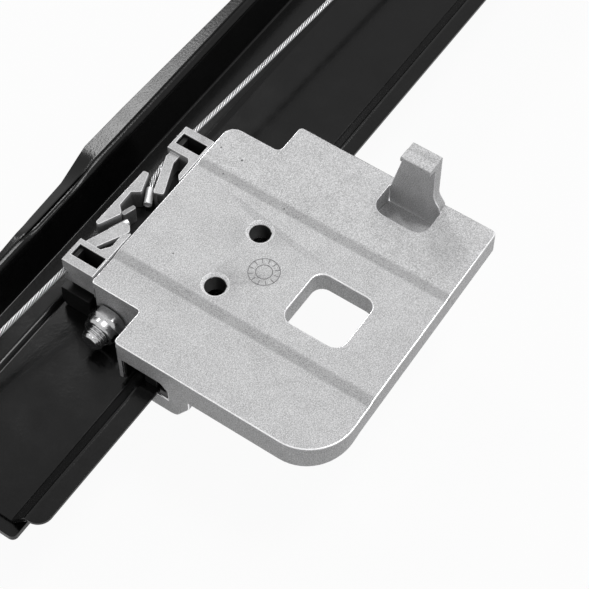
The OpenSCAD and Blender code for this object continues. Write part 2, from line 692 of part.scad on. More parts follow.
module lift_plate() {
  low_z = plate_low - skirt_drop - cut;
  color([0.75, 0.76, 0.77]) difference() {
    union() {
      difference() {
        intersection() {
          slab(low_z, plate_top + step_up + cut) polygon(rounded(plate_plan));
          along_y(-plate_w - cut, cut) polygon(plate_side);
        }
        difference() {
          slab(low_z, roof_z) polygon(rounded(moved_in(plate_plan, rim_t)));
          slab(low_z - cut, roof_z + cut) plate_islands();
        }
        for (x = shoe_places) along_x(x - cut, x + shoe_l + cut)
          polygon([for (p = concat([[-shoe_leg, lip_top]], channel)) flat(p)]);
      }
      for (x = shoe_places) along_x(x, x + shoe_l) polygon(rounded(shoe_section));
      // Boss that the adjuster stud passes through
      translate([wall_side_x, -18.6, 0.8]) cube([boss_t, 17.8, roof_z]);
      hook();
    }
    slab(low_z - 20, plate_top + 5) plate_plan_at(square_at, square_l, square_w, 4, 0);
    slab(low_z - 20, plate_top + 5) polygon(rounded(d_hole));
    for (p = glass_places) translate([p[0], p[1], low_z - 1]) {
      cylinder(h = 30, d = glass_d);
      translate([0, 0, plate_top - low_z + 1 - (glass_sink_d - glass_d) / 2])
        cylinder(h = glass_sink_d - glass_d, d1 = glass_d, d2 = 2 * glass_sink_d - glass_d);
    }
    translate([wall_side_x - cut, stud_at[0], stud_at[1]]) rotate([0, 90, 0])
      cylinder(h = boss_t + 2 * cut, d = stud_d + 0.4);
    at_each([for (p = screw_places) [p[0], p[1], plate_low - cut]])
      cylinder(h = roof_z - plate_low + cut, d = screw_d);
  }
}

// Hook at the upper edge: a tapering upright with a nose over the D hole
hook_foot_y = [-75.3, -56.9];
hook_head_y = [-72.7, -61.8];
hook_top = plate_top + hook_h;

module hook() {
  upright = [[hook_foot_y[0], roof_z, 0], [hook_foot_y[0], plate_top + 1.5, 3],
    [hook_head_y[0], plate_top + 5, 6], [hook_head_y[0], hook_top - 0.3, 0.5],
    [hook_head_y[1], hook_top - 0.3, 0.5], [hook_foot_y[1], plate_top + 1.5, 4],
    [hook_foot_y[1], roof_z, 0]];
  along_x(hook_face, plate_end) polygon(rounded(upright));
  along_y(hook_head_y[0], hook_head_y[1]) polygon(rounded([[hook_face + 0.2, hook_top - 4.2, 0],
    [hook_face + 0.2, hook_top, 0.2], [hook_face - nose_l, hook_top, 0.5],
    [hook_face - nose_l, hook_top - 1.9, 0.4], [hook_face - 0.6, hook_top - 2.6, 1]]));
}

// Slide lining in a shoe: it holds the flange between two lips and a side rib
module liner(x) {
  roof = channel_roof - seat_gap;
  side = channel_side - seat_gap;
  leg = shoe_in + shoe_leg_t + seat_gap;
  rib = [flange_edge - 5.3, flange_edge - 0.8];
  low = flange_h - sheet_t - slide_gap;
  bend = channel_slope + [0.1, 0.1];
  section = [[-leg, 3.5], [-leg, roof], [-side + bend[0], roof], [-side, roof - bend[1]],
    [-side, lip_top + seat_gap], [-lip_in - 0.5, lip_top + seat_gap], [-lip_in - 0.5, low],
    [-flange_edge - 0.1, low], [-flange_edge - 0.1, flange_h + 0.5],
    [-side + liner_t, flange_h + 0.5], [-side + liner_t, roof - bend[1] - 0.4],
    [-side + bend[0] + 0.4, roof - liner_t], [-rib[1], roof - liner_t],
    [-rib[1], flange_h + slide_gap], [-rib[0], flange_h + slide_gap],
    [-rib[0], roof - liner_t], [-leg - liner_t, roof - liner_t], [-leg - liner_t, 3.5]];
  color([0.06, 0.06, 0.06]) along_x(x, x + shoe_l - 1) polygon(section);
}

module lower_liner() { liner(plate_x + 0.4); }

module upper_liner() { liner(plate_end - shoe_l + 0.6); }

// The boxes of the two cable holders: [x0, x1, y0, y1]
lower_box = [plate_x + 14.8, plate_x + 24.6, 0.3, 12.5];
upper_box = [plate_x + 69.2, plate_x + 79.6, 0.3, 11.8];
lower_pocket = [lower_box[0] + 3.3, lower_box[1] - 1.9, 1.1, 11.2];
upper_pocket = [upper_box[0] + 3, upper_box[1] - 2.8, 1.1, 10.6];
ledge_depth = 1.9;
lower_ledge = 1.3;
upper_ledge = 1.7;
stub_gap = 0.25;
box_front_low = 14.5;

module box_plan(b, grow) {
  translate([b[0] - grow, b[2] - grow]) square([b[1] - b[0] + 2 * grow, b[3] - b[2] + 2 * grow]);
}

// Moulded tray under the holders, screwed up to the lift plate. The saddles
// on it carry the ferrules.
module cable_tray() {
  plan = [[lower_box[0] + 1, 0.5, 1], [upper_box[1] - 1, 0.5, 1], [upper_box[1] - 1, 11.6, 2],
    [lower_box[0] + 1, 11.6, 2]];
  color([0.07, 0.07, 0.07]) difference() {
    union() {
      slab(glide_h, tray_top) polygon(rounded(plan));
      for (x = tab_xs) translate([plate_x + x - tab_w / 2, screw_y - 4.5, glide_h]) {
        cube([tab_w, 4.7 - screw_y, plate_low - glide_h]);
        cube([tab_w, 8 - screw_y, tray_top - glide_h]);
      }
      saddle(lower_end_route[4], lower_ferrule_tip);
      saddle(upper_end_route[5], upper_ferrule_tip);
    }
    for (p = [lower_pocket, upper_pocket]) slab(glide_h - cut, tray_top + cut)
      stub_plan(p, stub_gap);
    at_each([for (p = screw_places) [p[0], p[1], glide_h - cut]]) {
      cylinder(h = plate_low - glide_h + 2 * cut, d = screw_d + 0.4);
      cylinder(h = 2.2 + cut, d = 7.6);
    }
  }
}

module saddle(p, q) {
  d = unit(flat(q) - flat(p));
  mid = (flat(p) + flat(q)) / 2;
  top = p[2] - ferrule_d / 2;
  translate([mid[0], mid[1], glide_h + cut]) rotate(atan2(d[1], d[0]))
    translate([-1.6, -1.2, 0]) cube([3.2, 2.4, top - glide_h - cut]);
}

module tray_screws() {
  color("silver") at_each([for (p = screw_places) [p[0], p[1], glide_h + 0.2]]) difference() {
    union() {
      cylinder(h = 2, d = 7);
      cylinder(h = 2 + 6.2, d = screw_d - 0.1);
    }
    translate([0, 0, -cut]) cylinder(h = cut + 1.2, r = 1.5, $fn = 6);
  }
}

// Straight passage for the rope through a box
passage_gap = 0.35;

module rope_passage(route) {
  d = unit(route[2] - route[0]);
  rod(route[0] - 2 * d, route[2] + d, rope_r + passage_gap);
}

// Deep pocket in a box, with a ledge over the rope that passes behind it
module pocket_cut(p, ledge) {
  slab(tray_top - cut, plate_top + cut) box_plan(p - [0, 0, 0, ledge], 0);
  slab(plate_top - ledge_depth, plate_top + cut) box_plan(p, 0);
}

// An arm's cap over the rope, on a narrower leg that stands beside the rope
module arm(cap, leg, cap_t) {
  slab(arm_top - cap_t, arm_top) polygon(rounded(cap));
  slab(arm_top - arm_h, arm_top - cap_t / 2) polygon(rounded(leg));
}

arm_h = 7;
lower_arm_cap_t = 1.8;
upper_arm_cap_t = 0.9;

// Lower cable holder: a box with a deep pocket, a strip along the plate's
// edge and a springy arm over the rope and its ferrule
module lower_holder() {
  x = lower_box[1] - 1;
  color([0.72, 0.73, 0.74]) difference() {
    union() {
      slab(tray_top, plate_top) box_plan(lower_box, 0);
      slab(plate_low + 0.4, plate_top) polygon(rounded([[x, 0.3, 0], [x + 11.6, 0.3, 0.3],
        [x + 9.3, 2.7, 1], [x + 4, 2.5, 1.2], [x + 1.6, 4.3, 0.6], [x, 5.2, 0]]));
      arm([[x, 8.1, 0], [86.3, 1.8, 1.3], [88.6, 3.6, 1.2], [88.4, 6.3, 1.4], [76, 11.2, 0.5],
        [x, 11.4, 0]],
        [[x, 8.5, 0], [86.1, 2.3, 1], [87.8, 3.8, 0.8], [87.4, 5.1, 0.5], [84.4, 6.6, 0],
        [80.5, 8.5, 0], [x, 9.7, 0]], lower_arm_cap_t);
    }
    pocket_cut(lower_pocket, lower_ledge);
    rope_passage(lower_end_route);
  }
}

module upper_holder() {
  x = upper_box[0] + 1;
  color([0.72, 0.73, 0.74]) difference() {
    union() {
      slab(tray_top, plate_top) box_plan(upper_box, 0);
      slab(plate_low + 0.4, plate_top) polygon(rounded([[x, 0.3, 0], [x, 4.2, 0],
        [x - 2.2, 2.4, 1.2], [x - 8.2, 2, 0.8], [x - 10.2, 0.3, 0.3]]));
      arm([[x, 6.9, 0], [x, 10.6, 0], [117.2, 10.6, 0.5], [103, 5.3, 0.7], [104.3, 1.9, 0.8],
        [116.4, 6.9, 0.8]],
        [[x, 7.2, 0], [x, 8.8, 0], [114, 8.5, 0], [109, 7.6, 0], [104.8, 5.1, 0.5], [103.8, 4.3, 0.5],
        [104.6, 2.4, 0.6], [116.2, 7.2, 0.6]], upper_arm_cap_t);
    }
    pocket_cut(upper_pocket, upper_ledge);
    rope_passage(upper_end_route);
  }
}

// Notched bracket that stands between the two ferrules, with a slanting rib
rib_from = [91.4, 9];
rib_to = [96.2, 7.4];
rib_half = 0.85;
rib_drop = 1.5;
rib_side = rib_half * left_of(unit(rib_to - rib_from));

module retaining_bracket() {
  color([0.7, 0.71, 0.72]) {
    slab(tray_top, arm_top) polygon(rounded([[83.4, 13.3, 0.6], [82.9, 12, 0.6],
      [90.2, 8.6, 0.5], [91.3, 9, 0.5], [93.2, 11, 0.8], [99.2, 11.2, 0.8],
      [101.2, 8.5, 0.6], [108.6, 11, 0.6], [108.5, 13, 0.6]]));
    slab(tray_top, arm_top - rib_drop) {
      polygon(rounded([for (p = [rib_from + rib_side, rib_from - rib_side, rib_to - rib_side,
        rib_to + rib_side]) [p[0], p[1], 0.7]]));
    }
  }
}

module stub_plan(p, grow) {
  translate([p[0] + 0.4 - grow, p[2] + 0.4 - grow])
    square([p[1] - p[0] - 0.8 + 2 * grow, 7.4 + 2 * grow]);
}

// Glide foot that runs on the web beside the step, with a stub that locks
// the box above it
module glide(x0, x1, pocket) {
  low = slide_gap;
  section = [[1.5, low + 0.4], [2.2, low], [web_wall_y - 1.6, low],
    [web_wall_y - 0.2, low + 2], [web_wall_y - 0.2, glide_h], [1.5, glide_h]];
  color([0.05, 0.05, 0.05]) {
    along_x(x0, x1) polygon(section);
    slab(glide_h - cut, box_front_low) stub_plan(pocket, 0);
  }
}

module lower_glide() { glide(plate_x + 12.8, lower_box[1] + 3, lower_pocket); }

module upper_glide() { glide(upper_box[0] - 3, upper_box[1] + 1.5, upper_pocket); }

module lower_cable_end() { color([0.78, 0.78, 0.8]) rope(lower_end_route, [0, 0, 1]); }

module upper_cable_end() { color([0.78, 0.78, 0.8]) rope(upper_end_route, [0, 0, 1]); }

// Crimped ferrule, open at its tip, where the rope's end shows
module ferrule(start, tip) {
  d = unit(tip - start);
  color("silver") difference() {
    rod(start + d * rope_break, tip, ferrule_d / 2);
    rod(tip - d * 1.2, tip + d * cut, rope_r);
  }
}

module lower_ferrule() { ferrule(lower_end_route[4], lower_ferrule_tip); }

module upper_ferrule() { ferrule(upper_end_route[5], upper_ferrule_tip); }

// Adjuster stud: a flat head behind the boss and a chamfered end
module adjuster_stud() {
  end_x = plate_x + 2.1;
  color("silver") translate([0, stud_at[0], stud_at[1]]) rotate([0, 90, 0]) {
    translate([0, 0, end_x + 1.2]) cylinder(h = wall_side_x + boss_t - end_x - 1.2, d = stud_d);
    translate([0, 0, end_x]) cylinder(h = 1.2, d1 = stud_d - 1.8, d2 = stud_d);
    translate([0, 0, wall_side_x + boss_t]) cylinder(h = 3, d = 12.6);
  }
}

// Lock nut: chamfered hexagon with a round crown over its insert ring
module adjuster_nut() {
  hex_l = 4.6;
  crown_l = 3;
  crown_r = nut_af / 2 - 0.4;
  color("silver") translate([wall_side_x, stud_at[0], stud_at[1]]) rotate([0, -90, 0]) difference() {
    union() {
      intersection() {
        rotate([0, 0, 0]) cylinder(h = hex_l, r = nut_af / 2 / cos(30), $fn = 6);
        cylinder(h = hex_l, r1 = nut_af / 2 + 2.4, r2 = nut_af / 2 + 0.1);
      }
      translate([0, 0, hex_l - 0.01]) cylinder(h = crown_l - 0.8, r = crown_r);
      translate([0, 0, hex_l + crown_l - 0.82]) cylinder(h = 0.8, r1 = crown_r, r2 = crown_r - 0.7);
    }
    translate([0, 0, -cut]) cylinder(h = hex_l + crown_l + 2 * cut, d = stud_d + 2 * seat_gap);
    translate([0, 0, hex_l + crown_l - 0.7]) cylinder(h = 2, r = crown_r - 0.8);
  }
}

guide_rail();
lower_bracket();
upper_bracket();
lower_rivets();
upper_rivets();
lower_axle();
upper_axle();
lower_pulley();
upper_pulley();
upper_stop();
drum_studs();
drum_cover();
drum_housing();
drum_nuts();
cable_drum();
drum_turns();
lower_return_cable();
upper_return_cable();
lower_front_cable();
upper_front_cable();
lift_plate();
lower_liner();
upper_liner();
cable_tray();
tray_screws();
lower_holder();
upper_holder();
retaining_bracket();
lower_glide();
upper_glide();
lower_cable_end();
upper_cable_end();
lower_ferrule();
upper_ferrule();
adjuster_stud();
adjuster_nut();
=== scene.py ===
"""Looks of a single-rail window regulator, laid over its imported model.

Lengths written as plain numbers are in mm unless a comment says otherwise, and those
times MM are in metres.
"""
import math

import bmesh
import bpy
import numpy as np
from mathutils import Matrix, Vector


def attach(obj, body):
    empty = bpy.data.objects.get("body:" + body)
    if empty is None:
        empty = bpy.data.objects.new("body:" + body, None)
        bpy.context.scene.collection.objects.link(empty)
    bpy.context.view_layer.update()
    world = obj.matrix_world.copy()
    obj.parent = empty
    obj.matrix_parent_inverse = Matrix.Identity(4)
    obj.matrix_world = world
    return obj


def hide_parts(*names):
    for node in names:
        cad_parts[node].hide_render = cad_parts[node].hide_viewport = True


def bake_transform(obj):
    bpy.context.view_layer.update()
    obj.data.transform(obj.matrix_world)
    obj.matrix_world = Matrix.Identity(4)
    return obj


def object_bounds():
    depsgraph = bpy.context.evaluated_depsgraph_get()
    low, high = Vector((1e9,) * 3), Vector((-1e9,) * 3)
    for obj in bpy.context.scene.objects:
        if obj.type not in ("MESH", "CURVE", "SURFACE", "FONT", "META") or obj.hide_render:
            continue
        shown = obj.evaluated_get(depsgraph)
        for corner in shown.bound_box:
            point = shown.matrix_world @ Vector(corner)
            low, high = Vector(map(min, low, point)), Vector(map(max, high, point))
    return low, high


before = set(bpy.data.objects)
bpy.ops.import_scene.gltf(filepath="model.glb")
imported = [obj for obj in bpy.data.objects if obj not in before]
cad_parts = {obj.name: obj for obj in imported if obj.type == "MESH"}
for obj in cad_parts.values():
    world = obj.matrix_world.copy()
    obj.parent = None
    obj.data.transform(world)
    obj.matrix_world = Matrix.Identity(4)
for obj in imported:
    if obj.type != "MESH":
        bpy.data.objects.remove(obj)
cad_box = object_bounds()
scene = bpy.context.scene
MM = 0.001

# Camera
# The picture was taken from above the rail's lower end, looking up along it.
# Its focal length is given for a frame 589 pixels wide; the eye is in metres.
photo_width = 589
photo_focal = 1900
look_down = math.radians(56.24)
look_along = math.radians(34.49)
eye = Vector((-0.1729, -0.2394, 0.5095))
lens = bpy.data.cameras.new("photo_camera")
lens.sensor_width = 36
lens.lens = photo_focal / photo_width * lens.sensor_width
lens.clip_start = 0.01
lens.clip_end = 30
camera = bpy.data.objects.new("photo_camera", lens)
camera.location = eye
gaze = Vector((math.cos(look_down) * math.cos(look_along),
               math.cos(look_down) * math.sin(look_along),
               -math.sin(look_down)))
camera.rotation_euler = gaze.to_track_quat("-Z", "Y").to_euler()
scene.collection.objects.link(camera)
scene.camera = camera

# Studio
# A pale floor under the drum housing, an even white room, one broad lamp
# overhead and one strip that the rail's lip mirrors. Its lengths are in metres.
room_light, room_white = 0.32, 1.0
floor_half, floor_gap = 3, 0.2 * MM
paper_grey, paper_glow = 0.62, 0.95
scene.view_settings.view_transform = "Standard"
room = bpy.data.worlds.new("studio")
scene.world = room
room.use_nodes = True
tree = room.node_tree


def seen_or_mirrored(tree):
    """A socket that is 1 for rays that show the background: straight, mirrored or through glass."""
    path = tree.nodes.new("ShaderNodeLightPath")
    total = path.outputs["Is Camera Ray"]
    for kind in ("Is Glossy Ray", "Is Transmission Ray"):
        either = tree.nodes.new("ShaderNodeMath")
        either.operation = "MAXIMUM"
        tree.links.new(total, either.inputs[0])
        tree.links.new(path.outputs[kind], either.inputs[1])
        total = either.outputs[0]
    return total


tree.nodes["Background"].inputs["Color"].default_value = (1, 1, 1, 1)
light_or_white = tree.nodes.new("ShaderNodeMapRange")
light_or_white.inputs["To Min"].default_value = room_light
light_or_white.inputs["To Max"].default_value = room_white
tree.links.new(seen_or_mirrored(tree), light_or_white.inputs["Value"])
tree.links.new(light_or_white.outputs[0], tree.nodes["Background"].inputs["Strength"])

floor_z = cad_box[0][2] - floor_gap
floor_corners = [(-floor_half, -floor_half, floor_z), (floor_half, -floor_half, floor_z),
                 (floor_half, floor_half, floor_z), (-floor_half, floor_half, floor_z)]
floor_mesh = bpy.data.meshes.new("floor")
floor_mesh.from_pydata(floor_corners, [], [(0, 1, 2, 3)])
floor = bpy.data.objects.new("floor", floor_mesh)
scene.collection.objects.link(floor)
paper = bpy.data.materials.new("pale_paper")
paper.use_nodes = True
tree = paper.node_tree
matt = tree.nodes["Principled BSDF"]
matt.inputs["Base Color"].default_value = (paper_grey, paper_grey, paper_grey, 1)
matt.inputs["Roughness"].default_value = 0.9
white = tree.nodes.new("ShaderNodeEmission")
share = tree.nodes.new("ShaderNodeMath")
share.operation = "MULTIPLY"
share.inputs[1].default_value = paper_glow
tree.links.new(seen_or_mirrored(tree), share.inputs[0])
blend = tree.nodes.new("ShaderNodeMixShader")
tree.links.new(share.outputs[0], blend.inputs["Fac"])
tree.links.new(matt.outputs[0], blend.inputs[1])
tree.links.new(white.outputs[0], blend.inputs[2])
tree.links.new(blend.outputs[0], tree.nodes["Material Output"].inputs["Surface"])
floor_mesh.materials.append(paper)


def soft_lamp(name, towards, distance, size, power, target):
    """An area lamp that stands off target in a direction and faces it, in metres and watts."""
    data = bpy.data.lights.new(name, "AREA")
    data.shape = "RECTANGLE"
    data.size, data.size_y = size
    data.energy = power
    lamp = bpy.data.objects.new(name, data)
    way = Vector(towards).normalized()
    lamp.location = Vector(target) + way * distance
    lamp.rotation_euler = (-way).to_track_quat("-Z", "Y").to_euler()
    scene.collection.objects.link(lamp)
    return lamp


plate_middle = (0.1, -0.03, 0.0)
soft_lamp("overhead", (0.3, -0.2, 0.93), 1.6, (0.45, 0.45), 10.4, plate_middle)
soft_lamp("lip_strip", (0.445, 0.565, 0.695), 1.11, (0.15, 0.28), 2.6, plate_middle)

# Guide rail
# One long pressing of 1.5 mm sheet steel: flat web, low flange, tall wall and
# a turned-out lip that dips beside the cable holders. Satin black electrocoat.
lip_under_z = 13.0 * MM
dish_from, dish_to = (66 * MM, 74 * MM), (90 * MM, 106 * MM)
dish_slope, dish_swing = 0.5, 0.379
dish_step, dish_margin = 2 * MM, 4 * MM
# The crease of the wall's and the lip's upper faces, as Y and Z, and the ways from it
crease = np.array([29.2, 16.9]) * MM
down_wall = np.array([-3.2, -16.1]) / math.hypot(3.2, 16.1)
out_lip = np.array([8.3, -1.1]) / math.hypot(8.3, 1.1)
crease_r, crease_cuts = 3.0 * MM, 8
face_reach = 0.5 * MM
weld_gap, flat_turn = 0.002 * MM, math.radians(0.4)
rounded_from, sharp_from = math.radians(35), math.radians(32)
face_room = 2.2
# The part of a noise's range that a finish's colour and its roughness run over
colour_span, dull_span = (0.32, 0.68), (0.3, 0.7)


def merged(node):
    """A bmesh of a CAD node with its triangles joined and its flat faces made single faces."""
    shape = bmesh.new()
    shape.from_mesh(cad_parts[node].data)
    bmesh.ops.remove_doubles(shape, verts=shape.verts, dist=weld_gap)
    bmesh.ops.dissolve_limit(shape, angle_limit=flat_turn, verts=shape.verts, edges=shape.edges)
    return shape


def cut(shape, point, normal):
    """Adds the edges where a plane crosses a bmesh."""
    bmesh.ops.bisect_plane(shape, geom=[*shape.verts, *shape.edges, *shape.faces],
                           plane_co=point, plane_no=normal)


def stand_in(shape, node, body, edge, material, edge_material=None, up_to=math.inf):
    """A piece made from a bmesh. It replaces the node and rides with its body.

    Its edges are rounded to a radius in mm, in a material of their own if one is given. An
    edge is left sharp where a face beside it is narrower than face_room such rounds, or
    where it lies above up_to mm.
    """
    weight = shape.edges.layers.float.new("bevel_weight_edge")
    for e in shape.edges:
        low = min(v.co.z for v in e.verts) < up_to * MM
        if low and len(e.link_faces) == 2 and e.calc_face_angle() > rounded_from:
            least = min(f.calc_area() for f in e.link_faces)
            e[weight] = least > face_room * edge * MM * e.calc_length()
    mesh = bpy.data.meshes.new(node + "_skin")
    shape.to_mesh(mesh)
    shape.free()
    mesh.materials.clear()
    mesh.materials.append(material)
    mesh.shade_smooth()
    mesh.set_sharp_from_angle(angle=sharp_from)
    piece = bpy.data.objects.new(node + "_skin", mesh)
    scene.collection.objects.link(piece)
    rounding = piece.modifiers.new("rounding", "BEVEL")
    rounding.width = edge * MM
    rounding.segments = 2
    rounding.limit_method = "WEIGHT"
    rounding.use_clamp_overlap = False
    rounding.harden_normals = True
    if edge_material:
        mesh.materials.append(edge_material)
        rounding.material = 1
    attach(piece, body)
    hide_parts(node)
    return piece


def smooth_step(v, start, end):
    """0 before start, 1 after end, and an even S curve between them."""
    t = np.clip((v - start) / (end - start), 0, 1)
    return t * t * (3 - 2 * t)


def finish(name, dark, light, rough, metal=0.0, grain=0.5, depth=0.02, patch=9.0, patchy=0.35,
           specular=0.5):
    """A finish whose colour runs from dark to light by a fine grain and by broad patches.

    grain and patch are the sizes of the two patterns and depth is the height of the
    grain, all in mm. The roughness follows the patches and the bump follows the grain.
    """
    material = bpy.data.materials.new(name)
    material.use_nodes = True
    tree = material.node_tree
    add, link = tree.nodes.new, tree.links.new
    shader = tree.nodes["Principled BSDF"]
    shader.inputs["Metallic"].default_value = metal
    shader.inputs["Specular IOR Level"].default_value = specular
    place = add("ShaderNodeTexCoord")
    fine, broad = add("ShaderNodeTexNoise"), add("ShaderNodeTexNoise")
    for noise, size, detail in ((fine, grain, 3.0), (broad, patch, 4.0)):
        noise.inputs["Scale"].default_value = 1 / (size * MM)
        noise.inputs["Detail"].default_value = detail
        noise.inputs["Roughness"].default_value = 0.6
        link(place.outputs["Object"], noise.inputs["Vector"])
    both = add("ShaderNodeMix")
    both.data_type = "FLOAT"
    both.inputs[0].default_value = patchy
    link(fine.outputs["Fac"], both.inputs[2])
    link(broad.outputs["Fac"], both.inputs[3])
    ramp = add("ShaderNodeValToRGB")
    for stop, position, colour in zip(ramp.color_ramp.elements, colour_span, (dark, light)):
        stop.position = position
        stop.color = (*colour, 1)
    link(both.outputs[0], ramp.inputs["Fac"])
    link(ramp.outputs["Color"], shader.inputs["Base Color"])
    dull = add("ShaderNodeMapRange")
    dull.inputs["From Min"].default_value, dull.inputs["From Max"].default_value = dull_span
    dull.inputs["To Min"].default_value, dull.inputs["To Max"].default_value = rough
    link(broad.outputs["Fac"], dull.inputs["Value"])
    link(dull.outputs[0], shader.inputs["Roughness"])
    bump = add("ShaderNodeBump")
    bump.inputs["Distance"].default_value = depth * MM
    link(fine.outputs["Fac"], bump.inputs["Height"])
    link(bump.outputs["Normal"], shader.inputs["Normal"])
    return material


def grey(value):
    """A grey with a trace of blue."""
    return (value, value, value * 1.01)


electrocoat = finish("electrocoat", grey(0.002), grey(0.006), (0.12, 0.2), grain=0.9, depth=0.028,
                     patch=14, patchy=0.3, specular=0.2)
rail = merged("guide_rail")
for x in np.arange(dish_from[0] - dish_margin, dish_to[1] + dish_margin, dish_step):
    cut(rail, (x, 0, 0), (1, 0, 0))
corner_turn = math.pi - math.acos(down_wall @ out_lip)
crease_run = crease_r * math.tan(corner_turn / 2)
for s in np.linspace(0, crease_run, crease_cuts):
    for way in (down_wall, out_lip):
        cut(rail, (0, *(crease + s * way)), (0, *way))
rail_piece = stand_in(rail, "guide_rail", "rail", 0.25, electrocoat)
# The CAD mesh's own normals go stale when its points move, so they are made anew
rail_piece.data.attributes.remove(rail_piece.data.attributes["custom_normal"])
even_faces = rail_piece.modifiers.new("even_faces", "WEIGHTED_NORMAL")
even_faces.keep_sharp = True
co = np.empty(len(rail_piece.data.vertices) * 3)
rail_piece.data.vertices.foreach_get("co", co)
co = co.reshape(-1, 3)


def crease_rounded(yz):
    """Moves points of the wall's and the lip's upper face by their crease onto one arc of crease_r.

    A point's way s from the crease, below 0 on the wall and above on the lip, gives its share
    of the arc: the arc turns evenly from the wall's face at -crease_run to the lip's at
    crease_run. Only points within face_reach of a face are moved.
    """
    off = yz - crease
    a, b = off @ down_wall, off @ out_lip
    s = (b - a) / (1 - down_wall @ out_lip)
    gap = np.minimum(np.linalg.norm(off - np.outer(np.maximum(a, 0), down_wall), axis=1),
                     np.linalg.norm(off - np.outer(np.maximum(b, 0), out_lip), axis=1))
    inside = (gap < face_reach) & (np.abs(s) < crease_run)
    halfway = (down_wall + out_lip) / np.linalg.norm(down_wall + out_lip)
    middle = crease + halfway * crease_r / math.cos(corner_turn / 2)
    first = crease + crease_run * down_wall - middle
    turn = -(s + crease_run) / (2 * crease_run) * corner_turn
    arc = middle + np.stack([first[0] * np.cos(turn) - first[1] * np.sin(turn),
                             first[0] * np.sin(turn) + first[1] * np.cos(turn)], 1)
    return np.where(inside[:, None], arc, yz)


co[:, 1:] = crease_rounded(co[:, 1:])
dish = smooth_step(co[:, 0], *dish_from) * (1 - smooth_step(co[:, 0], *dish_to))
past_crease = np.where(co[:, 2] > lip_under_z, np.maximum(co[:, 1] - crease[0], 0), 0)
co[:, 2] -= dish_slope * dish * past_crease
co[:, 1] += dish_slope * dish_swing * dish * past_crease
rail_piece.data.vertices.foreach_set("co", co.ravel())
rail_piece.data.update()
rail_piece.data.set_sharp_from_angle(angle=sharp_from)

# Pulley brackets
# Pressed steel plates riveted behind the rail's ends, coated with the rail.
for node in ("lower_bracket", "upper_bracket"):
    stand_in(merged(node), node, "rail", 0.25, electrocoat)

# Lift plate
# A zinc-grey aluminium pressure die casting, grit blasted, with shallow steps
# across its face, a hook, a square hole and guide shoes below.
# Painted light on the face: shade at its two steps, in the glass screws' bores and in some blow
# holes, and a highlight on the screws' seats. Each share below multiplies the face's colour.
step_bands, band_fade, band_z = ((75.0, 78.4), (119.0, 122.2)), (0.4, 0.6, 1.0, 0.6), (20.5, 21)
glass_holes = ((84.67, -32.65), (108.92, -32.65))
seat_r, seat_z = 5.4, (22.45, 22.4)
bore_r, bore_z = 3.62, (21.5, 21.2)
hole_fade, pit_share = 0.1, 0.6
blow_holes = ((128.6, -11.7, 0.45), (129.1, -3.0, 0.35), (120.4, -33.9, 0.3), (120.8, -9.8, 0.3),
              (86.7, -15.0, 0.3))
step_shade, seat_highlight, bore_shade, pit_shade = 0.7, 1.6, 0.02, 0.2
# The hook's nose lies above this height, and its edges stay sharp
hook_nose_z = 40


def darkened(material, masks):
    """Multiplies a finish's colour by a share where a mask is 1.

    masks(tree, place) gives [(mask, share)].
    """
    tree = material.node_tree
    place = tree.nodes.new("ShaderNodeTexCoord").outputs["Object"]
    base = tree.nodes["Principled BSDF"].inputs["Base Color"]
    colour = base.links[0].from_socket
    for mask, share in masks(tree, place):
        mix = tree.nodes.new("ShaderNodeMix")
        mix.data_type = "RGBA"
        mix.blend_type = "MULTIPLY"
        tree.links.new(mask, mix.inputs[0])
        tree.links.new(colour, mix.inputs[6])
        mix.inputs[7].default_value = (share, share, share, 1)
        colour = mix.outputs[2]
    tree.links.new(colour, base)


def ramp_mask(tree, value, zero_at, one_at):
    """0 where a value in metres is past zero_at, and 1 where it is past one_at, both in mm."""
    ramp = tree.nodes.new("ShaderNodeMapRange")
    ramp.interpolation_type = "SMOOTHSTEP"
    ramp.inputs["From Min"].default_value = zero_at * MM
    ramp.inputs["From Max"].default_value = one_at * MM
    tree.links.new(value, ramp.inputs["Value"])
    return ramp.outputs[0]


def all_of(tree, *masks):
    """The product of masks: 1 only where each of them is."""
    total = masks[0]
    for mask in masks[1:]:
        both = tree.nodes.new("ShaderNodeMath")
        both.operation = "MULTIPLY"
        tree.links.new(total, both.inputs[0])
        tree.links.new(mask, both.inputs[1])
        total = both.outputs[0]
    return total


def between(tree, value, low, high):
    """1 between two ends, each given as where the mask is 0 and where it is 1, in mm."""
    return all_of(tree, ramp_mask(tree, value, *low), ramp_mask(tree, value, *high))


def axes_of(tree, place):
    """The X, Y and Z sockets of a place."""
    split = tree.nodes.new("ShaderNodeSeparateXYZ")
    tree.links.new(place, split.inputs[0])
    return split.outputs


def near_line(tree, place, x, y, radius, soft):
    """1 inside a round column of a radius in mm that stands at x, y."""
    flat = tree.nodes.new("ShaderNodeVectorMath")
    flat.operation = "MULTIPLY"
    flat.inputs[1].default_value = (1, 1, 0)
    tree.links.new(place, flat.inputs[0])
    gap = tree.nodes.new("ShaderNodeVectorMath")
    gap.operation = "DISTANCE"
    gap.inputs[1].default_value = (x * MM, y * MM, 0)
    tree.links.new(flat.outputs[0], gap.inputs[0])
    return ramp_mask(tree, gap.outputs["Value"], radius + soft, radius)


def plate_painted_light(tree, place):
    """Painted shade on the face's steps, a painted highlight on the glass screws' seats, and
    painted shade in their bores and in some pits.
    """
    x, _, z = axes_of(tree, place)
    marks = []
    for low, high in step_bands:
        band = between(tree, x, (low - band_fade[0], low + band_fade[1]),
                       (high + band_fade[2], high - band_fade[3]))
        marks.append((all_of(tree, band, ramp_mask(tree, z, *band_z)), step_shade))
    for hole in glass_holes:
        for r, z_fade, share in ((seat_r, seat_z, seat_highlight), (bore_r, bore_z, bore_shade)):
            column = near_line(tree, place, *hole, r, hole_fade)
            marks.append((all_of(tree, column, ramp_mask(tree, z, *z_fade)), share))
    for x_pit, y_pit, r_pit in blow_holes:
        core = r_pit * pit_share
        marks.append((near_line(tree, place, x_pit, y_pit, core, core), pit_shade))
    return marks


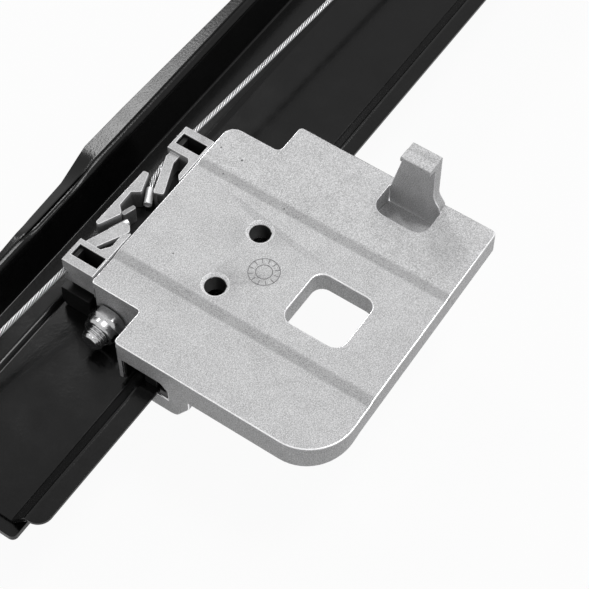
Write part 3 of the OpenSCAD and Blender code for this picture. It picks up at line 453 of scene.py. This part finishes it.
cast_aluminium = finish("cast_aluminium", grey(0.25), grey(0.82), (0.5, 0.62), metal=0.15,
                        grain=0.34, depth=0.03, patch=7, patchy=0.16)
darkened(cast_aluminium, plate_painted_light)
# The plate's rounded edges get a lighter, mirror-like aluminium: partly the wear of the casting's
# edges, partly a painted highlight along them.
worn_and_highlit_aluminium = finish("worn_and_highlit_aluminium", grey(0.7), grey(0.97), (0.2, 0.3), metal=1.0,
                        grain=0.6, depth=0.01, patch=5)
stand_in(merged("lift_plate"), "lift_plate", "carrier", 0.32, cast_aluminium,
         worn_and_highlit_aluminium, hook_nose_z)

# Cable holders and retaining bracket
# Light-grey castings: two boxes with deep pockets, each with a strip along
# the plate and an arm over its ferrule, and a notched bracket between them.
# The pockets' insides and the arms' sides between them are darkened as painted shade.
pockets = ((68.5, 73.1, 1.1, 11.2), (122.6, 127.2, 1.1, 10.6))
pocket_rim, pocket_fade, pocket_z = 0.1, 0.05, (22.2, 21.9)
arms_x, arms_z = ((74.3, 74.8), (121.7, 121.2)), (20.6, 18.8)
arms_shade, pocket_inside_shade = 0.3, 0.02


def holder_painted_shade(tree, place):
    """Painted shade on the insides of the pockets and on the sides of the arms between them, which
    get little light.
    """
    x, y, z = axes_of(tree, place)
    marks = [(all_of(tree, between(tree, x, *arms_x), ramp_mask(tree, z, *arms_z)), arms_shade)]
    for x0, x1, y0, y1 in pockets:
        inside = [between(tree, axis, (low - pocket_rim, low - pocket_fade),
                          (high + pocket_rim, high + pocket_fade))
                  for axis, low, high in ((x, x0, x1), (y, y0, y1))]
        marks.append((all_of(tree, *inside, ramp_mask(tree, z, *pocket_z)), pocket_inside_shade))
    return marks


holder_cast = finish("holder_cast", grey(0.24), grey(0.72), (0.5, 0.6), metal=0.12, grain=0.34,
                     depth=0.03, patch=6)
# Rounded edges get a lighter, more metallic finish, which stands as a painted highlight along them.
holder_edge = finish("holder_edge", grey(0.6), grey(0.8), (0.3, 0.4), metal=0.4, grain=0.6,
                     depth=0.01, patch=5)
for material in (holder_cast, holder_edge):
    darkened(material, holder_painted_shade)
for node in ("lower_holder", "upper_holder", "retaining_bracket"):
    stand_in(merged(node), node, "carrier", 0.22, holder_cast, holder_edge)

# Slide liners, glides and cable tray
# Black mouldings: acetal where they run on the rail, glass-filled nylon for
# the tray under the ferrules.
slide_acetal = finish("slide_acetal", grey(0.003), grey(0.009), (0.35, 0.45), depth=0.01,
                      specular=0.25)
for node in ("lower_liner", "upper_liner", "lower_glide", "upper_glide"):
    stand_in(merged(node), node, "carrier", 0.2, slide_acetal)
filled_nylon = finish("filled_nylon", grey(0.004), grey(0.012), (0.45, 0.6), grain=0.35,
                      depth=0.03, specular=0.25)
stand_in(merged("cable_tray"), "cable_tray", "carrier", 0.2, filled_nylon)

# Lock nut and adjuster stud
# M8, bright zinc. The nut has a chamfered hexagon and a round crown, and the
# stud is threaded, with a cone at its end and a round head behind the boss.
stud_y, stud_z = -6.8, 7.15
stud_end, boss_face, boss_back = 52.5, 64.0, 68.0
stud_r, thread_pitch, thread_depth = 4.0, 1.25, 0.62
thread_rows, thread_gain, thread_crest = 10, 1.25, 0.12
cone_depth, cone_slope = 1.1, 0.9
head_r, head_h, head_round = 6.3, 3.0, 0.3
nut_half, nut_corner, nut_turn = 6.0, 6.55, math.radians(-38)
nut_rows, round_places = 90, 96
turned_sharp_from = math.radians(40)
# Height over the boss and limiting radius of the nut, from its foot to its bore
nut_h = np.array([0, 0, 0.6, 0.65, 0.95, 3.2, 4.1, 4.6, 4.75, 5.0,
                  6.3, 6.9, 7.3, 7.5, 7.6, 7.6, 7.5, 7.1, 7.1, 5.0])
nut_r = np.array([4.1, 5.2, 5.2, 6.2, 7.0, 7.0, 6.2, 5.75, 5.6, 5.55,
                  5.55, 5.45, 5.2, 4.9, 4.7, 4.55, 4.5, 4.5, 4.1, 4.1])
undercut_h, undercut_dark = (0.7, 0.6), 0.03
crown_h, side_dark = (7.25, 7.15), 0.9


def grid_mesh(name, points, closed_ends=True):
    """A mesh from points[ring, place, xyz]: quads between each ring and the next, closed round.

    Its first and last rings are filled if closed_ends is true.
    """
    rings, places, _ = points.shape
    index = np.arange(rings * places).reshape(rings, places)
    a, b = index[:-1], index[1:]
    quads = np.stack([a, np.roll(a, -1, 1), np.roll(b, -1, 1), b], -1).reshape(-1, 4)
    faces = quads.tolist()
    if closed_ends:
        faces += [index[0][::-1].tolist(), index[-1].tolist()]
    mesh = bpy.data.meshes.new(name)
    mesh.from_pydata(points.reshape(-1, 3).tolist(), [], faces)
    shape = bmesh.new()
    shape.from_mesh(mesh)
    bmesh.ops.recalc_face_normals(shape, faces=shape.faces)
    shape.to_mesh(mesh)
    shape.free()
    mesh.shade_smooth()
    mesh.set_sharp_from_angle(angle=turned_sharp_from)
    return mesh


def add_piece(name, mesh, material, body=None, replaced=()):
    """A piece with one material. It rides with a body and replaces nodes where they are given."""
    piece = bpy.data.objects.new(name, mesh)
    mesh.materials.append(material)
    scene.collection.objects.link(piece)
    if body:
        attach(piece, body)
    if replaced:
        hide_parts(*replaced)
    return piece


def turned_on_stud(x, r, angle):
    """Points of a surface turned round the stud's axis: places x and radii r in mm, at angles."""
    x, r, angle = np.broadcast_arrays(x, r, angle)
    return np.stack([x, stud_y + r * np.cos(angle), stud_z + r * np.sin(angle)], -1) * MM


bright_zinc = finish("bright_zinc", grey(0.36), grey(0.62), (0.14, 0.26), metal=1.0, grain=0.3,
                     depth=0.004, patch=3)
angle = np.linspace(0, 2 * math.pi, round_places, endpoint=False)[None, :]
# The thread's depth is a clipped triangle wave along the stud that also turns with the angle
x = np.arange(stud_end, boss_face + 0.01, thread_pitch / thread_rows)[:, None]
wave = np.abs(((x / thread_pitch + angle / (2 * math.pi)) % 1) * 2 - 1)
thread = stud_r - thread_depth * np.clip(wave * thread_gain - thread_crest, 0, 1)
end_cone = stud_r - cone_depth + cone_slope * (x - stud_end)
thread = np.minimum(thread, end_cone)
head_x = boss_back + np.array([0, head_round, head_h - head_round, head_h])
shank_x = np.concatenate([[boss_face, boss_back], head_x])[:, None]
shank_r = np.array([stud_r, stud_r, head_r - head_round, head_r, head_r,
                    head_r - head_round])[:, None]
stud_points = np.concatenate([turned_on_stud(x, thread, angle),
                              turned_on_stud(shank_x, shank_r, angle)])
add_piece("adjuster_stud_skin", grid_mesh("adjuster_stud_skin", stud_points), bright_zinc,
          "carrier", ("adjuster_stud",))

# The nut's section is cut down to a hexagon whose corners are turned off
knots = np.concatenate([[0], np.cumsum(np.hypot(np.diff(nut_h), np.diff(nut_r)))])
knots /= knots[-1]
along = np.union1d(np.linspace(0, 1, nut_rows), knots)
h = np.interp(along, knots, nut_h)[:, None]
cap = np.interp(along, knots, nut_r)[:, None]
flat_angle = (angle + nut_turn + math.pi / 6) % (math.pi / 3) - math.pi / 6
hexagon = np.minimum(nut_half / np.cos(flat_angle), nut_corner)
nut_points = turned_on_stud(boss_face - h, np.minimum(cap, hexagon), angle)


def nut_marks(tree, place):
    """The nut's foot is undercut and lies in shadow; all but its crown's end is a bit darker."""
    x = axes_of(tree, place)[0]
    return [(ramp_mask(tree, x, boss_face - undercut_h[0], boss_face - undercut_h[1]),
             undercut_dark),
            (ramp_mask(tree, x, boss_face - crown_h[0], boss_face - crown_h[1]), side_dark)]


nut_zinc = finish("nut_zinc", grey(0.36), grey(0.62), (0.14, 0.26), metal=1.0, grain=0.3,
                  depth=0.004, patch=3)
darkened(nut_zinc, nut_marks)
add_piece("adjuster_nut_skin", grid_mesh("adjuster_nut_skin", nut_points, closed_ends=False),
          nut_zinc, "carrier", ("adjuster_nut",))

# Date dial
# The mould's dial leaves two fine rings in the plate's face, with plain ticks
# between them.
dial_x, dial_y = 97.0, -42.5
dial_low, dial_high = 22.4, 22.53
dial_rings, ring_steps = ((4.9, 5.22), (2.5, 2.8)), 65
dial_ticks, first_tick = 12, 0.2
tick_from, tick_to, tick_swing = 3.3, 4.9, 0.035


def dial_bar(r0, r1, a0, a1, steps):
    """Points of a flat bar bent round the dial's middle, between two radii in mm and two angles."""
    turn = np.linspace(a0, a1, steps)[:, None]
    r = np.array([[r0, r1, r1, r0]])
    z = np.array([[dial_low, dial_low, dial_high, dial_high]]) + 0 * turn
    return np.stack([dial_x + r * np.cos(turn), dial_y + r * np.sin(turn), z], -1) * MM


# The rings and ticks are coloured far darker than the plate's face.
dial_grey = finish("dial_grey", grey(0.04), grey(0.34), (0.5, 0.6), metal=0.15, grain=0.6)
bars = [dial_bar(r0, r1, 0, 2 * math.pi, ring_steps) for r0, r1 in dial_rings]
for a in np.arange(dial_ticks) * 2 * math.pi / dial_ticks + first_tick:
    bars.append(dial_bar(tick_from, tick_to, a - tick_swing, a + tick_swing, 2))
dial = bmesh.new()
for points in bars:
    dial.from_mesh(grid_mesh("dial_bar", points))
dial_mesh = bpy.data.meshes.new("date_dial")
dial.to_mesh(dial_mesh)
dial.free()
add_piece("date_dial", dial_mesh, dial_grey, "carrier")

# Hook's pocket
# In the photograph the opening before the hook shows grey metal: a web of the
# casting slopes from its near edge down to the hook's foot.
pocket_x, pocket_y = (135.6, 146.5), (-75.6, -56.8)
pocket_corner, pocket_drop = 4.4, (20.0, 15.6)
pocket_sheet = 0.8


def pocket_floor(steps=24):
    """A floor in the opening: its height falls along x as a quarter of a sine wave.

    Its width is full but for the near pocket_corner mm, where it narrows as the round
    corners of the opening do, by a circle of that radius.
    """
    x = np.linspace(*pocket_x, steps)[:, None]
    near = np.clip(1 - (x - pocket_x[0]) / pocket_corner, 0, 1)
    narrow = pocket_corner * (1 - np.sqrt(1 - near ** 2))
    fall = np.sin(np.pi / 2 * (x - pocket_x[0]) / (pocket_x[1] - pocket_x[0]))
    z = pocket_drop[0] + (pocket_drop[1] - pocket_drop[0]) * fall
    y0, y1 = pocket_y[0] + narrow, pocket_y[1] - narrow
    y = np.concatenate([y0, y1, y1, y0], 1)
    thick = np.array([[0, 0, pocket_sheet, pocket_sheet]])
    return np.stack([x + 0 * y, y, z - thick], -1) * MM


add_piece("hook_pocket", grid_mesh("hook_pocket", pocket_floor()), cast_aluminium,
          "carrier")

# Fasteners
# Rivets, axles, studs, nuts and tray screws in bright zinc, and the rope's end
# ferrules in satin zinc.
for node in ("lower_rivets", "upper_rivets", "lower_axle", "upper_axle", "drum_studs", "drum_nuts"):
    stand_in(merged(node), node, "rail", 0.15, bright_zinc)
stand_in(merged("tray_screws"), "tray_screws", "carrier", 0.12, bright_zinc)
satin_zinc = finish("satin_zinc", grey(0.5), grey(0.78), (0.35, 0.45), metal=0.6, grain=0.3,
                    depth=0.004, patch=3)
for node in ("lower_ferrule", "upper_ferrule"):
    stand_in(merged(node), node, "carrier", 0.12, satin_zinc)

# Wire rope
# One bright steel rope of six outer strands. It runs from each ferrule over a
# pulley and behind the web to the drum.
rope_r, rope_strands, rope_lay, strand_dip = 0.9, 6, 10.5, 0.24
# The grooves between the strands are darkened by a share, as painted shade.
rope_sharp_from, groove_shade = math.radians(75), 0.03
turn_r, wind_r = 11.0, 18.0
lower_pulley, upper_pulley = np.array([3, 19, -0.5]), np.array([468, -5, -0.5])
drum_middle = np.array([335, -15])
lower_rope_z, upper_rope_z = -6.6, -17.8
lower_route = np.array([[65.2, 12.1, 16.6], [70, 11.75, 17], [75.5, 11, 17.3], [80.5, 10.1, 17.5],
                        [84.4, 9, 17.5]])
upper_route = np.array([[130.3, 10.9, 17.2], [125, 10.6, 17.9], [119.6, 10.4, 18.6],
                        [114, 10.1, 18.9], [109, 9.4, 18.8], [105.4, 8.1, 18.5]])


def groove_painted_shade(tree, place):
    """Painted shade in the grooves between the strands, from the mesh's own attribute."""
    groove = tree.nodes.new("ShaderNodeAttribute")
    groove.attribute_name = "groove"
    return [(groove.outputs["Fac"], groove_shade)]


def rope_mesh(name, route, up, step=0.6, places=48):
    """A laid rope carried along a route in mm.

    Its section's radius is rope_r less a dip of strand_dip between each two strands, and
    the section makes a full turn in each rope_lay. up is a direction the route never takes.
    """
    length = np.concatenate([[0], np.cumsum(np.linalg.norm(np.diff(route, axis=0), axis=1))])
    s = np.union1d(np.linspace(0, length[-1], max(4, int(length[-1] / step))), length)
    middle = np.stack([np.interp(s, length, route[:, k]) for k in range(3)], 1)
    way = np.gradient(middle, s, axis=0)
    way /= np.linalg.norm(way, axis=1)[:, None]
    across = np.cross(way, np.asarray(up, float))
    across /= np.linalg.norm(across, axis=1)[:, None]
    over = np.cross(across, way)
    lobe = np.linspace(0, 2 * math.pi, places, endpoint=False)
    crown = np.abs(np.cos(rope_strands * lobe / 2))
    radius = rope_r - strand_dip + strand_dip * crown
    turn = lobe[None, :] + 2 * math.pi * s[:, None] / rope_lay
    points = (middle[:, None, :] + (radius * np.cos(turn))[..., None] * across[:, None, :]
              + (radius * np.sin(turn))[..., None] * over[:, None, :])
    mesh = grid_mesh(name, points * MM)
    mesh.set_sharp_from_angle(angle=rope_sharp_from)
    # The groove attribute is 1 between the strands, where the shade is painted.
    groove = np.tile(1 - crown, len(s)).astype(np.float32)
    mesh.attributes.new("groove", "FLOAT", "POINT").data.foreach_set("value", groove)
    return mesh


def touch(centre, r, p, side):
    """Angle at which a line from p touches a circle, on one side or the other."""
    d = np.asarray(p, float) - centre
    return math.atan2(d[1], d[0]) + side * math.acos(r / math.hypot(*d))


def wrap(pulley, a0, a1, steps=24):
    """Points of the rope's middle round a pulley, from angle a0 to a1 in the plane of X and Z."""
    a = np.linspace(a0, a1, steps)
    return np.stack([pulley[0] + turn_r * np.cos(a), np.full(steps, pulley[1]),
                     pulley[2] + turn_r * np.sin(a)], 1)


def drum_point(start, side, z):
    """The point where the rope from start meets the drum, at height z."""
    a = touch(drum_middle, wind_r, start[:2], side)
    return np.array([[drum_middle[0] + wind_r * math.cos(a), drum_middle[1] + wind_r * math.sin(a),
                      z]])


rope_steel = finish("rope_steel", grey(0.45), grey(0.75), (0.25, 0.4), metal=1.0, grain=0.25,
                    depth=0.004, patch=4)
darkened(rope_steel, groove_painted_shade)
lower_crown = touch(lower_pulley[[0, 2]], turn_r, lower_route[0, [0, 2]], 1)
lower_under = touch(lower_pulley[[0, 2]], turn_r, (drum_middle[0], lower_rope_z), -1) + 2 * math.pi
upper_crown = touch(upper_pulley[[0, 2]], turn_r, upper_route[0, [0, 2]], -1)
upper_under = touch(upper_pulley[[0, 2]], turn_r, (drum_middle[0], upper_rope_z), 1)
lower_wrap = wrap(lower_pulley, lower_crown, lower_under)
upper_wrap = wrap(upper_pulley, upper_crown, upper_under)
for name, loop, side, z in (("lower_return_cable", lower_wrap, -1, lower_rope_z),
                            ("upper_return_cable", upper_wrap, 1, upper_rope_z)):
    route = np.concatenate([loop, drum_point(loop[-1], side, z)])
    add_piece(name + "_skin", rope_mesh(name + "_skin", route, (0, 1, 0)), rope_steel,
              "rail", (name,))
for name, loop, end in (("lower_front_cable", lower_wrap, lower_route),
                        ("upper_front_cable", upper_wrap, upper_route)):
    route = np.array([loop[0], end[0]])
    piece = add_piece(name + "_skin", rope_mesh(name + "_skin", route, (0, 0, 1)), rope_steel,
                      None, (name,))
    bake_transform(piece)
for name, route in (("lower_cable_end", lower_route), ("upper_cable_end", upper_route)):
    add_piece(name + "_skin", rope_mesh(name + "_skin", route, (0, 0, 1)), rope_steel,
              "carrier", (name,))

# Pulleys
# Grey acetal wheels with a rope groove, turning on the bright axles.
wheel_acetal = finish("wheel_acetal", grey(0.06), grey(0.13), (0.35, 0.45), grain=0.6, depth=0.01)
for node, body in (("lower_pulley", "lower_wheel"), ("upper_pulley", "upper_wheel")):
    stand_in(merged(node), node, body, 0.2, wheel_acetal)

# Drum and its case
# Natural acetal drum with the rope's turns, in a black nylon housing under a
# dull zinc cover that sits against the back of the rail.
drum_acetal = finish("drum_acetal", (0.62, 0.61, 0.56), (0.78, 0.77, 0.72), (0.35, 0.45),
                     grain=0.6, depth=0.01)
dull_zinc = finish("dull_zinc", grey(0.35), grey(0.55), (0.4, 0.55), metal=1.0, grain=0.4,
                   depth=0.008, patch=6)
stand_in(merged("cable_drum"), "cable_drum", "drum", 0.15, drum_acetal)
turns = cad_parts["drum_turns"]
turns.data.materials.clear()
turns.data.materials.append(rope_steel)
stand_in(merged("drum_housing"), "drum_housing", "rail", 0.25, filled_nylon)
stand_in(merged("drum_cover"), "drum_cover", "rail", 0.2, dull_zinc)

# Upper stop
# Black rubber buffer snapped through the web at the upper end of the travel.
stop_rubber = finish("stop_rubber", grey(0.012), grey(0.03), (0.7, 0.85), grain=0.4)
stand_in(merged("upper_stop"), "upper_stop", "rail", 0.3, stop_rubber)
